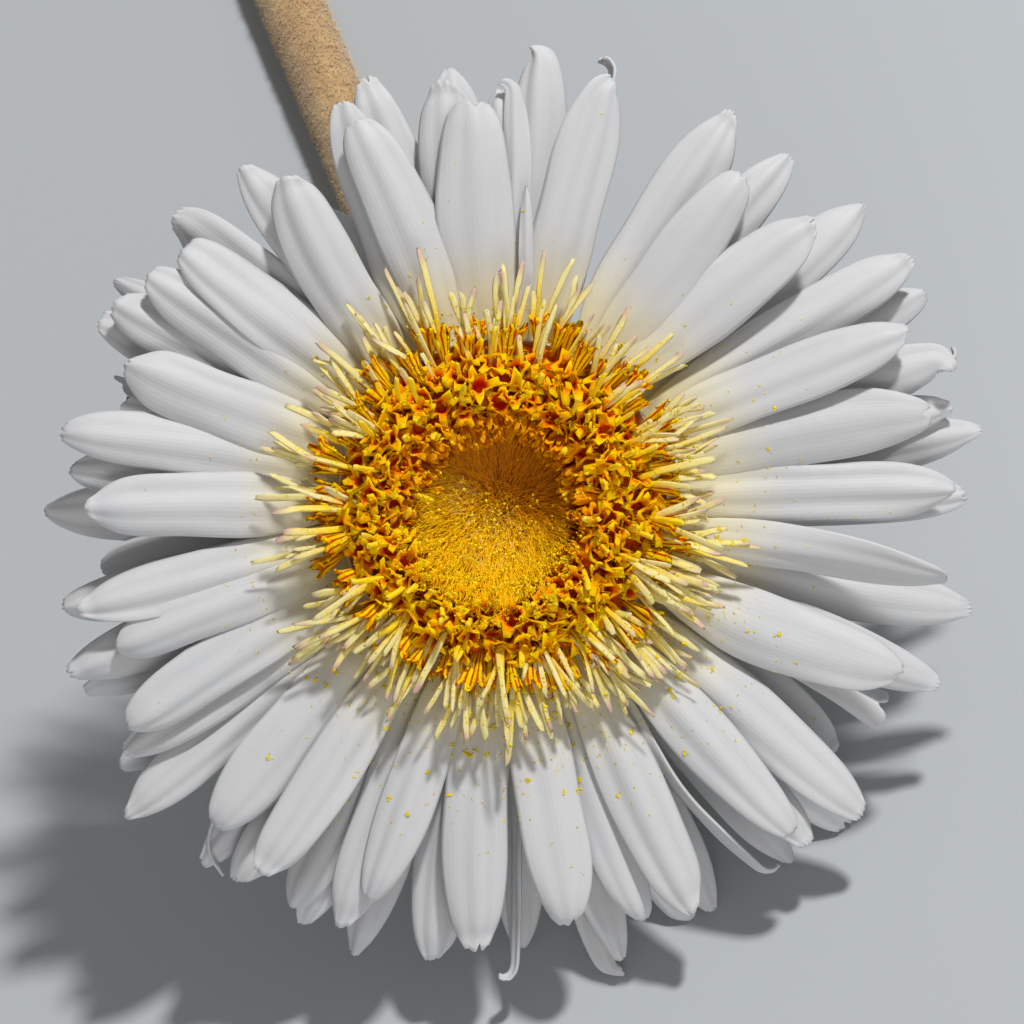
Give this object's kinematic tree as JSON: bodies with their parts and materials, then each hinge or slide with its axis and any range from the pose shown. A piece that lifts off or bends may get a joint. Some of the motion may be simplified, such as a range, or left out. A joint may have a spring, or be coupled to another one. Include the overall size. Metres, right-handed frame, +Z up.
{
  "type": "rock daisy flower",
  "caption": "Picked daisy flower with many white strap-shaped rays, a golden disc with a brown centre, a felted scaly cup and a stout felted stem, lying on its side.",
  "frame": {"origin": "middle of the bounding box's underside, on the surface that the flower lies on", "axes": "+Y along the lying stem, from the flower's face to the stem's cut end; +Z up from the surface; the face looks up and towards -Y"},
  "size_m": [0.0764, 0.127, 0.05],
  "materials": {
    "white_ray": "matte",
    "yellow_floret": "matte",
    "brown_bud": "matte",
    "buff_felt": "matte",
    "tan_felt_stem": "matte"
  },
  "bodies": {
    "root": {"ray_florets": "white_ray", "disc_florets": "yellow_floret", "bud_centre": "brown_bud", "involucre": "buff_felt", "stem": "tan_felt_stem"}
  },
  "joints": []
}
